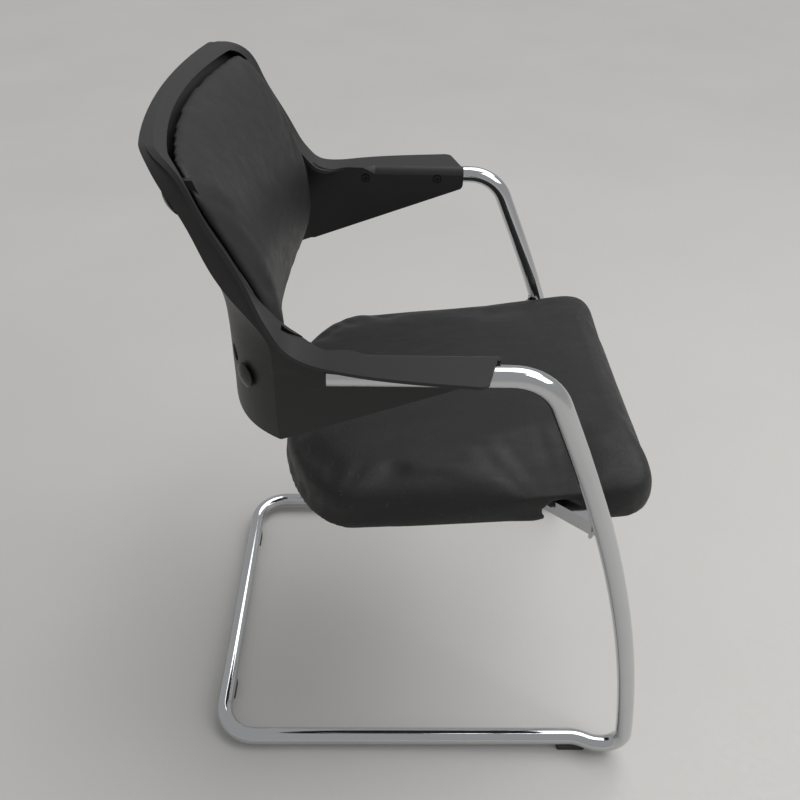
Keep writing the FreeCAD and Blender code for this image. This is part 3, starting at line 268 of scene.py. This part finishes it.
CHROME = chrome()
ZINC = zinc()
OXIDE = oxide()
SHELL = plastic("shell_plastic", (0.0120, 0.0120, 0.0120), (0.0170, 0.0170, 0.0167), 0.40, 0.54)
CAPS = plastic("cap_plastic", (0.014, 0.014, 0.014), (0.020, 0.020, 0.020), 0.26, 0.36, 1300.0)
COVER = plastic("cover_plastic", (0.018, 0.018, 0.018), (0.026, 0.026, 0.026), 0.55, 0.70, 500.0)
GLIDE = plastic("glide_plastic", (0.022, 0.022, 0.022), (0.034, 0.034, 0.034), 0.45, 0.6, 700.0)
LEATHER = leather()
FOAM = foam()
PLY = plywood("plywood", (0.36, 0.23, 0.12), (0.60, 0.44, 0.27))
# Near-black plywood for the pad's board, which shows in the gap between pad and rim: painted shade for that
# gap, not a stain
PLY_PAINTED_SHADE = plywood("plywood_painted_shade", (0.012, 0.011, 0.010), (0.024, 0.022, 0.020))

MADE_OF = (
    (CHROME, ("frame_tube", "seat_cross_bar", "bracket_plate_left", "bracket_plate_right")),
    (SHELL, ("back_arm_shell",)),
    (CAPS, ("tube_end_cap_left", "tube_end_cap_right", "back_caps")),
    (COVER, ("seat_bottom_cover",)),
    (GLIDE, ("front_glide_left", "front_glide_right", "rear_glide_left", "rear_glide_right", "glide_pins")),
    (OXIDE, ("seat_rail_left", "seat_rail_right", "bottom_cover_screws")),
    (OXIDE, ("arm_bolts_left", "arm_bolts_right")),
    (ZINC, ("seat_t_nuts", "seat_washers", "seat_bolts", "back_bolts", "back_inserts")),
    (ZINC, ("arm_rivet_nuts_left", "arm_rivet_nuts_right")),
    (PLY, ("seat_board",)),
    # The pad's board in near-black plywood: painted shade where it shows between pad and rim
    (PLY_PAINTED_SHADE, ("back_pad_board",)),
    (LEATHER, ("seat_leather", "back_pad_leather")),
    (FOAM, ("seat_foam", "back_pad_foam")),
)


def dress(obj, material):
    obj.data.materials.clear()
    obj.data.materials.append(material)


for material, names in MADE_OF:
    for name in names:
        dress(NODES[name], material)


# Mesh helpers
def smooth(share):
    """Rise from 0 to 1 with soft ends, while the share goes from 0 to 1."""
    share = min(max(share, 0.0), 1.0)
    return share * share * (3 - 2 * share)


def hump(distance, width):
    """1 at no distance, falling away softly on both sides over the width."""
    return math.exp(-(distance / width) ** 2)


def make_object(name, data):
    obj = bpy.data.objects.new(name, data)
    scene.collection.objects.link(obj)
    return obj


def loft(name, rings):
    """Closed mesh through rings of equal length, capped at both ends."""
    bm = bmesh.new()
    made = [[bm.verts.new(point) for point in ring] for ring in rings]
    count = len(made[0])
    for first, second in zip(made, made[1:]):
        for i in range(count):
            j = (i + 1) % count
            bm.faces.new((first[i], first[j], second[j], second[i]))
    bm.faces.new(list(reversed(made[0])))
    bm.faces.new(made[-1])
    bmesh.ops.recalc_face_normals(bm, faces=bm.faces)
    mesh = bpy.data.meshes.new(name)
    bm.to_mesh(mesh)
    bm.free()
    return make_object(name, mesh)


def prism(name, outline, low, high):
    """Upright solid of a plan outline between two heights."""
    return loft(name, [[(x, y, low) for x, y in outline], [(x, y, high) for x, y in outline]])


def bake(obj):
    """Turns an object's modifiers into plain mesh."""
    graph = bpy.context.evaluated_depsgraph_get()
    mesh = bpy.data.meshes.new_from_object(obj.evaluated_get(graph))
    obj.modifiers.clear()
    old = obj.data
    obj.data = mesh
    bpy.data.meshes.remove(old)


def carve(obj, cutters):
    """Cuts closed meshes out of an object and removes them."""
    for cutter in cutters:
        cut = obj.modifiers.new("carve", "BOOLEAN")
        cut.operation = "DIFFERENCE"
        cut.solver = "EXACT"
        cut.object = cutter
    bake(obj)
    for cutter in cutters:
        bpy.data.objects.remove(cutter)


def remesh(obj, size):
    """The same form in even faces of the given size."""
    step = obj.modifiers.new("remesh", "REMESH")
    step.mode = "VOXEL"
    step.voxel_size = size
    bake(obj)


def coords(obj):
    flat = np.zeros(len(obj.data.vertices) * 3)
    obj.data.vertices.foreach_get("co", flat)
    return flat.reshape(-1, 3)


def set_coords(obj, points):
    obj.data.vertices.foreach_set("co", points.ravel())
    obj.data.update()


def relax(obj, held, rounds):
    """Laplacian smoothing, in which a vertex moves the less the more it is held."""
    step = 0.5
    edges = np.zeros(len(obj.data.edges) * 2, int)
    obj.data.edges.foreach_get("vertices", edges)
    first, second = edges.reshape(-1, 2).T
    points = coords(obj)
    degree = np.bincount(first, minlength=len(points)) + np.bincount(second, minlength=len(points))
    for _ in range(rounds):
        total = np.zeros_like(points)
        np.add.at(total, first, points[second])
        np.add.at(total, second, points[first])
        mean = total / degree[:, None]
        points += (mean - points) * step * (1 - held)[:, None]
    set_coords(obj, points)


SWELL_FRAMES = 20
SWELL_PRESSURE = 4.0


def swell(obj, held, cap):
    """Cloth inflation with the held points pinned and each point's travel capped."""
    rest = coords(obj)
    group = obj.vertex_groups.new(name="held")
    for index in np.nonzero(held > 0)[0]:
        group.add([int(index)], float(held[index]), "REPLACE")
    cloth = obj.modifiers.new("cloth", "CLOTH")
    cloth.settings.quality = 5
    cloth.settings.mass = 0.25
    cloth.settings.tension_stiffness = 12
    cloth.settings.compression_stiffness = 12
    cloth.settings.shear_stiffness = 6
    cloth.settings.bending_stiffness = 0.6
    cloth.settings.use_pressure = True
    cloth.settings.uniform_pressure_force = SWELL_PRESSURE
    cloth.settings.vertex_group_mass = "held"
    cloth.settings.effector_weights.gravity = 0
    cloth.point_cache.frame_start = 1
    cloth.point_cache.frame_end = SWELL_FRAMES
    for number in range(1, SWELL_FRAMES + 1):
        scene.frame_set(number)
    bake(obj)
    scene.frame_set(1)
    travel = coords(obj) - rest
    length = np.linalg.norm(travel, axis=1)
    factor = np.minimum(1.0, cap / np.maximum(length, 1e-9))
    set_coords(obj, rest + travel * factor[:, None])


def settle(obj, held, first_hold, cap):
    relax(obj, held * first_hold, 4)
    swell(obj, held, cap)
    relax(obj, held, 3)


def finish_soft(obj):
    """Smooth shading and one level of subdivision."""
    obj.data.polygons.foreach_set("use_smooth", [True] * len(obj.data.polygons))
    step = obj.modifiers.new("subdivision", "SUBSURF")
    step.levels = 1
    step.render_levels = 1


# Seat cushion, drawn flat in the seat's own frame, front to -Y, and then set in its place
SEAT_PIVOT = (0, -0.0421, 0.404)
SEAT_TILT = math.radians(-5.7)
SEAT_PLACE = Matrix.Translation(SEAT_PIVOT) @ Matrix.Rotation(SEAT_TILT, 4, "X")

# Plan of the cushion: reach forward and back, half width, and how much that narrows per metre
SEAT_FRONT = 0.204
SEAT_REAR = 0.222
SEAT_HALF = 0.209
SEAT_TAPER = 0.03
FRONT_CORNER = 0.046
REAR_BOW = 0.100
REAR_BLUNT = 0.04 * REAR_BOW
LEAST_HALF = 0.02

# Section of the cushion: heights as shares of the thickness, squareness as powers
SEAT_THICK = 0.057
SEAT_CROWN = 0.0035
EDGE_ROLL = 0.024
EDGE_HIGH = 0.55
EDGE_RISE = 0.43
EDGE_LOW = 0.20
WIDEST = 0.42
UPPER_POWER = 0.42
LOWER_POWER = 0.16
SIDE_POWER = 0.22

# The board that the cushion is wrapped over, and the arched notches for the carrier bar
BOARD_INSET = 0.034
BOARD_TOP = 0.0404
BELOW_SEAT = -0.02
BAR_ANGLE = math.radians(45)
NOTCH_RADIUS = 0.0145
NOTCH_SPRING = 0.021
NOTCH_LEAD = 0.0125
NOTCH_REACH = (-0.01, 0.125)

# The form begins a little inside its skin, swells, and then grows to its full size
SEAT_START = 0.0015
SEAT_SWELL = 0.006
SEAT_MESH = 0.0045
SKIRT_TOP = 0.034
SKIRT_BLEND = 0.014
TOP_RISE = 0.004
WIDENING = 1.035
FRONT_GROWTH = 1.05
REAR_GROWTH = 1.01


def seat_half(forward, inset=0.0):
    """Half width of the seat at a distance forward of its pivot."""
    reach = forward + SEAT_REAR + REAR_BLUNT
    width = SEAT_HALF - SEAT_TAPER * (SEAT_FRONT - forward)
    if reach < REAR_BOW:
        width *= math.sqrt(max(1 - (1 - reach / REAR_BOW) ** 2, 0))
    gap = SEAT_FRONT - forward
    if gap < FRONT_CORNER:
        width -= FRONT_CORNER - math.sqrt(max(FRONT_CORNER ** 2 - (FRONT_CORNER - gap) ** 2, 0))
    return max(width - inset, LEAST_HALF)


def seat_ring(forward):
    """Cross-section of the cushion: a rounded oblong, low and thin at the seat's two ends."""
    edge = min(forward + SEAT_REAR, SEAT_FRONT - forward)
    roll = math.sqrt(max(1 - (1 - min(edge / EDGE_ROLL, 1.0)) ** 2, 0.0))
    high = SEAT_THICK * (EDGE_HIGH + EDGE_RISE * roll) - SEAT_START
    low = SEAT_THICK * EDGE_LOW * (1 - roll)
    middle = low + WIDEST * (high - low)
    half = seat_half(forward) - SEAT_START
    ring = []
    steps = 44
    for i in range(steps):
        angle = 2 * math.pi * (i + 0.5) / steps
        across = math.cos(angle)
        up = math.sin(angle)
        x = math.copysign(abs(across) ** SIDE_POWER, across) * half
        if up > 0:
            crown = SEAT_CROWN * (1 - min(abs(x) / SEAT_HALF, 1) ** 2) * roll
            z = middle + up ** UPPER_POWER * (high - middle) + crown
        else:
            z = middle - abs(up) ** LOWER_POWER * (middle - low)
        ring.append((x, -forward, z))
    return ring


def seat_outline(inset):
    """Plan outline of the seat, drawn in from its edge."""
    steps = 24
    length = SEAT_FRONT + SEAT_REAR - 2 * inset
    right = []
    for i in range(steps + 1):
        forward = -SEAT_REAR + inset + length * (1 - math.cos(math.pi * i / steps)) / 2
        right.append((seat_half(forward, inset), -forward))
    return right + [(-x, y) for x, y in reversed(right)]


def seat_notch(side):
    """Arched passage for the carrier bar through the cushion's side."""
    along = Vector((math.cos(BAR_ANGLE), math.sin(BAR_ANGLE), 0))
    across = Vector((-along.y, along.x, 0))
    low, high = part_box("bracket_plate_left")
    start = SEAT_PLACE.inverted() @ ((low + high) / 2) - along * NOTCH_LEAD
    start.z = 0
    steps = 16
    rings = []
    for reach in NOTCH_REACH:
        middle = start + along * reach
        ring = []
        for i in range(steps + 1):
            angle = math.pi * i / steps
            height = NOTCH_SPRING + NOTCH_RADIUS * math.sin(angle)
            ring.append(middle + across * NOTCH_RADIUS * math.cos(angle) + Vector((0, 0, height)))
        for turn in (-1, 1):
            ring.append(middle + across * turn * NOTCH_RADIUS + Vector((0, 0, BELOW_SEAT)))
        rings.append([(side * -point.x, point.y, point.z) for point in ring])
    return loft("notch", rings)


def seat_held(points):
    """1 on the underside, over the board and beside the notches, 0 elsewhere."""
    inset = 0.030
    underside = 0.0055
    over_board = 0.0425
    notch_x = 0.205
    notch_y = -0.09
    notch_zone = 0.034
    notch_top = 0.042
    inside = np.array([abs(x) < seat_half(-y, inset) and -SEAT_REAR + inset < -y < SEAT_FRONT - inset
                       for x, y, z in points])
    height = points[:, 2]
    held = np.where((height < underside) | (inside & (height < over_board)), 1.0, 0.0)
    for side in (-1, 1):
        near = np.hypot(points[:, 0] - side * notch_x, points[:, 1] - notch_y) < notch_zone
        held = np.maximum(held, np.where(near & (height < notch_top), 1.0, 0.0))
    return held


def shape_seat(cushion):
    """Valley inside the edge roll, sag and soft creases of use on the upper side, then the full size."""
    upper_from = 0.030
    valley_inset = 0.047
    valley_width = 0.015
    valley_depth = 0.0021
    valley_at_front = 0.45
    front_from = 0.17
    front_fade = 0.08
    end_margin = 0.012
    sag_depth = 0.0035
    sag_middle = -0.02
    sag_width = 0.12
    sag_length = 0.13
    ripple_height = 0.0011
    ripple_middle = -0.08
    ripple_width = 0.09
    swirl_height = 0.0012
    points = coords(cushion)
    for index, (x, y, z) in enumerate(points):
        if z < upper_from:
            continue
        forward = -y
        side_gap = seat_half(forward) - abs(x)
        end_gap = min(forward + SEAT_REAR, SEAT_FRONT - forward)
        gap = min(side_gap, end_gap + end_margin)
        fade = valley_at_front + (1 - valley_at_front) * smooth((front_from - forward) / front_fade)
        valley = valley_depth * hump(gap - valley_inset, valley_width) * fade
        sag = sag_depth * hump(x, sag_width) * hump(forward - sag_middle, sag_length)
        ripple = noise.noise(Vector((x * 34, y * 9, 3.1))) * ripple_height
        ripple *= hump(x - ripple_middle, ripple_width)
        swirl = noise.noise(Vector((x * 14, y * 14, 7.7))) * swirl_height
        upper = smooth((z - SKIRT_TOP) / SKIRT_BLEND)
        points[index][2] = z + upper * (ripple + swirl - valley - sag)
    points[:, 2] += TOP_RISE * np.clip((points[:, 2] - SKIRT_TOP) / SKIRT_BLEND, 0, 1)
    points[:, 0] *= WIDENING
    points[:, 1] *= np.where(points[:, 1] < 0, FRONT_GROWTH, REAR_GROWTH)
    set_coords(cushion, points)


def seat_cushion():
    steps = 60
    margin = 0.003
    length = SEAT_FRONT + SEAT_REAR - 2 * margin
    stations = [-SEAT_REAR + margin + length * (1 - math.cos(math.pi * i / steps)) / 2
                for i in range(steps + 1)]
    cushion = loft("seat_cushion", [seat_ring(forward) for forward in stations])
    recess = prism("recess", seat_outline(BOARD_INSET), BELOW_SEAT, BOARD_TOP)
    carve(cushion, [recess, seat_notch(-1), seat_notch(1)])
    remesh(cushion, SEAT_MESH)
    settle(cushion, seat_held(coords(cushion)), 0.9, SEAT_SWELL)
    shape_seat(cushion)
    cushion.data.transform(SEAT_PLACE)
    finish_soft(cushion)
    return cushion


# Back cushion, which stands in the rim of the shell
ARM_TOP = 0.6552
RISE = 0.171
BACK_TOP = ARM_TOP + RISE
TOP_HALF = 0.212
BACK_BOW = 0.78

# The raked rim: its top's Y, its whole rake, and points as shares of the rake forward and the rise up
RIM_TOP_Y = 0.2409
RAKE = 0.129
RIM_STEPS = ((-0.05, 1.04), (0.0, 1.0), (0.093, 0.942), (0.163, 0.848), (0.257, 0.673), (0.366, 0.515),
             (0.481, 0.322), (0.554, 0.205), (0.636, 0.118), (0.713, 0.056), (0.81, 0.02), (0.93, 0.004))

# Outline of the pad from the front
PAD_TOP = BACK_TOP - 0.0096
PAD_LOW = 0.5662
PAD_HALF = 0.196
PAD_CORNER = 0.032
CORNER_SHARE = 0.96
LOW_BOW = 0.014
LOW_CORNER = 0.040
LOW_CORNER_POWER = 7

# Its face, which leans and tucks back from the foremost height and turns back to the rim past the ridge
PAD_FRONT_Y = 0.1519
FOREMOST = PAD_LOW + 0.25 * (PAD_TOP - PAD_LOW)
LEAN = 1.95
TUCK = 0.252
TUCK_POWER = 1.6
FACE_BOW = 0.85 * BACK_BOW
RIDGE = 0.168
PAD_EDGE = 0.008
END_STEEPNESS = 7
END_POWER = 1.6
TOP_ROLL = 0.010
LOW_ROLL = 0.004

# Its rear, which follows the rim down to the rim's foot
RIM_FOOT = ARM_TOP + 0.2 * RISE
LOW_LEAN = 0.12
FULL_BOW_RISE = 0.45 * RISE
LEAST_BOW = 0.8
BEHIND_RIM = 0.001

# The form begins a little inside its skin and swells
PAD_START = 0.002
PAD_SWELL = 0.004
PAD_MESH = 0.0042


def rim_y(height):
    """Y of the rim's front face at a height."""
    points = [(RIM_TOP_Y - RAKE * forward, ARM_TOP + RISE * up) for forward, up in RIM_STEPS]
    points.append((RIM_TOP_Y - RAKE, ARM_TOP))
    for (y1, z1), (y0, z0) in zip(points, points[1:]):
        if z0 <= height <= z1:
            return y0 + (height - z0) / (z1 - z0) * (y1 - y0)
    return points[-1][0] if height < ARM_TOP else points[0][0]


def pad_front(height):
    """Y of the pad's face along its middle."""
    lean = LEAN * max(height - FOREMOST, 0) ** 2
    tuck = TUCK * max(FOREMOST - height, 0) ** TUCK_POWER
    return PAD_FRONT_Y + lean + tuck


def pad_rear(x, height):
    """Y of the pad's rear face: along the rim above its foot, nearly upright below it."""
    on_rim = max(height, RIM_FOOT)
    bow = BACK_BOW * max(smooth((on_rim - ARM_TOP) / FULL_BOW_RISE), LEAST_BOW)
    middle = rim_y(on_rim) + LOW_LEAN * min(height - RIM_FOOT, 0) + BEHIND_RIM
    return middle + bow * (TOP_HALF ** 2 - x ** 2)


def pad_ring(x):
    """Upright section of the pad at a distance from its middle, up the face and down the rear."""
    past_corner = max(abs(x) - (PAD_HALF - PAD_START - PAD_CORNER), 0) / PAD_CORNER
    drop = PAD_CORNER * (1 - math.sqrt(1 - CORNER_SHARE * min(past_corner, 1.0) ** 2))
    high = PAD_TOP - PAD_START - drop
    low = PAD_LOW + PAD_START + LOW_BOW * (abs(x) / RIDGE) ** 2
    low += LOW_CORNER * min(abs(x) / PAD_HALF, 1.0) ** LOW_CORNER_POWER
    bow = FACE_BOW * (RIDGE ** 2 - min(abs(x), RIDGE) ** 2)
    flare = max(abs(x) - RIDGE, 0) / (PAD_HALF - RIDGE)
    front = []
    back = []
    steps = 40
    for i in range(steps):
        height = low + (high - low) * i / (steps - 1)
        rear = pad_rear(x, height)
        near_top = max(1 - END_STEEPNESS * (high - height) / (high - low), 0)
        near_low = max(1 - END_STEEPNESS * (height - low) / (high - low), 0)
        face = pad_front(height) + bow + PAD_START
        face += TOP_ROLL * near_top ** END_POWER + LOW_ROLL * near_low ** END_POWER
        face += flare * max(rear - PAD_EDGE - face, 0)
        face = min(face, rear - PAD_EDGE + PAD_START)
        front.append((x, face, height))
        back.append((x, rear, height))
    return front + list(reversed(back))


def crease_back(cushion, held):
    """Soft folds all over the free skin, askew and stretched, with finer ones on the upper part."""
    fold_height = 0.0009
    fine_height = 0.00035
    fine_from = 0.70
    fine_blend = 0.08
    points = coords(cushion)
    for index, (x, y, z) in enumerate(points):
        if held[index]:
            continue
        fold = noise.noise(Vector((x * 22 + z * 14, z * 30 - x * 10, 1.3)))
        fine = noise.noise(Vector((x * 60 + z * 40, z * 70 - x * 30, 5.2)))
        upper = smooth((z - fine_from) / fine_blend)
        points[index][1] = y + fold_height * fold + fine_height * fine * upper
    set_coords(cushion, points)


def back_cushion():
    steps = 24
    half = PAD_HALF - PAD_START
    stations = [half * math.sin(math.pi / 2 * (i / steps)) for i in range(-steps, steps + 1)]
    cushion = loft("back_cushion", [pad_ring(x) for x in stations])
    remesh(cushion, PAD_MESH)
    rear_skin = 0.0045
    held = np.array([1.0 if y > pad_rear(x, z) - rear_skin else 0.0 for x, y, z in coords(cushion)])
    settle(cushion, held, 0.8, PAD_SWELL)
    crease_back(cushion, held)
    finish_soft(cushion)
    return cushion


seat = seat_cushion()
dress(seat, LEATHER)
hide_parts("seat_leather", "seat_foam")
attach(seat, "root")

back = back_cushion()
dress(back, LEATHER)
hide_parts("back_pad_leather", "back_pad_foam")
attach(back, "root")


# Floor, light and camera
def floor_material():
    """Pale, matt and slightly speckled."""
    n = Nodes("floor")
    specks = n.noise(90.0, detail=6.0, rough=0.6)
    clouds = n.noise(1.6)
    tone = n.blend(clouds, (0.50, 0.49, 0.47), (0.56, 0.55, 0.53))
    tone = n.blend(n.span(specks, 0.62, 0.8, 0.0, 0.15), tone, (0.42, 0.41, 0.39))
    rough = n.span(specks, 0.3, 0.7, 0.55, 0.7)
    return n.finish(tone, rough, n.bump(specks, distance=0.0003, strength=0.3))


def floor_disc():
    bm = bmesh.new()
    bmesh.ops.create_circle(bm, cap_ends=True, segments=96, radius=9.0)
    mesh = bpy.data.meshes.new("floor")
    bm.to_mesh(mesh)
    bm.free()
    floor = make_object("floor", mesh)
    dress(floor, floor_material())


def sky():
    """Even pale surroundings; the camera sees them about twice as bright as they light the chair."""
    world = bpy.data.worlds.new("studio")
    scene.world = world
    world.use_nodes = True
    tree = world.node_tree
    tree.nodes.clear()
    out = tree.nodes.new("ShaderNodeOutputWorld")
    seen = tree.nodes.new("ShaderNodeBackground")
    lit = tree.nodes.new("ShaderNodeBackground")
    mix = tree.nodes.new("ShaderNodeMixShader")
    path = tree.nodes.new("ShaderNodeLightPath")
    seen.inputs["Color"].default_value = (0.80, 0.80, 0.78, 1)
    lit.inputs["Color"].default_value = (0.97, 0.98, 1.0, 1)
    lit.inputs["Strength"].default_value = 0.42
    tree.links.new(path.outputs["Is Camera Ray"], mix.inputs["Fac"])
    tree.links.new(lit.outputs[0], mix.inputs[1])
    tree.links.new(seen.outputs[0], mix.inputs[2])
    tree.links.new(mix.outputs[0], out.inputs["Surface"])


def lamp(name, place, target, width, height, power):
    """Oblong lamp at a place, facing a target."""
    data = bpy.data.lights.new(name, "AREA")
    data.shape = "RECTANGLE"
    data.size = width
    data.size_y = height
    data.energy = power
    obj = make_object(name, data)
    way = Vector(target) - Vector(place)
    obj.matrix_world = Matrix.Translation(place) @ way.to_track_quat("-Z", "Y").to_matrix().to_4x4()


def sun(name, way, strength, spread):
    """Broad soft light from far off, so that the floor is equally bright all over."""
    data = bpy.data.lights.new(name, "SUN")
    data.energy = strength
    data.angle = spread
    obj = make_object(name, data)
    obj.rotation_euler = Vector(way).to_track_quat("Z", "Y").to_euler()


# The photograph's camera, worked out from the tube's runners, legs and width
CAMERA_PLACE = (-0.8581, 0.0579, 1.0764)
CAMERA_FORWARD = (0.7974, -0.0227, -0.6030)
CAMERA_UP = (0.6033, 0.0099, 0.7975)
CAMERA_LENS = 36.75
CAMERA_SENSOR = 36.0


def camera():
    data = bpy.data.cameras.new("camera")
    data.sensor_width = CAMERA_SENSOR
    data.lens = CAMERA_LENS
    cam = make_object("camera", data)
    forward = Vector(CAMERA_FORWARD).normalized()
    up = Vector(CAMERA_UP)
    up = (up - forward * up.dot(forward)).normalized()
    right = forward.cross(up)
    turn = Matrix((right, up, -forward)).transposed().to_4x4()
    cam.matrix_world = Matrix.Translation(CAMERA_PLACE) @ turn
    scene.camera = cam


floor_disc()
sky()
lamp("key", place=(-0.6, -1.9, 2.3), target=(0, 0, 0.5), width=1.8, height=1.4, power=26)
sun("day", way=(0.35, -0.45, 1.0), strength=1.5, spread=math.radians(50))
camera()
scene.view_settings.view_transform = "Standard"

bpy.context.view_layer.update()
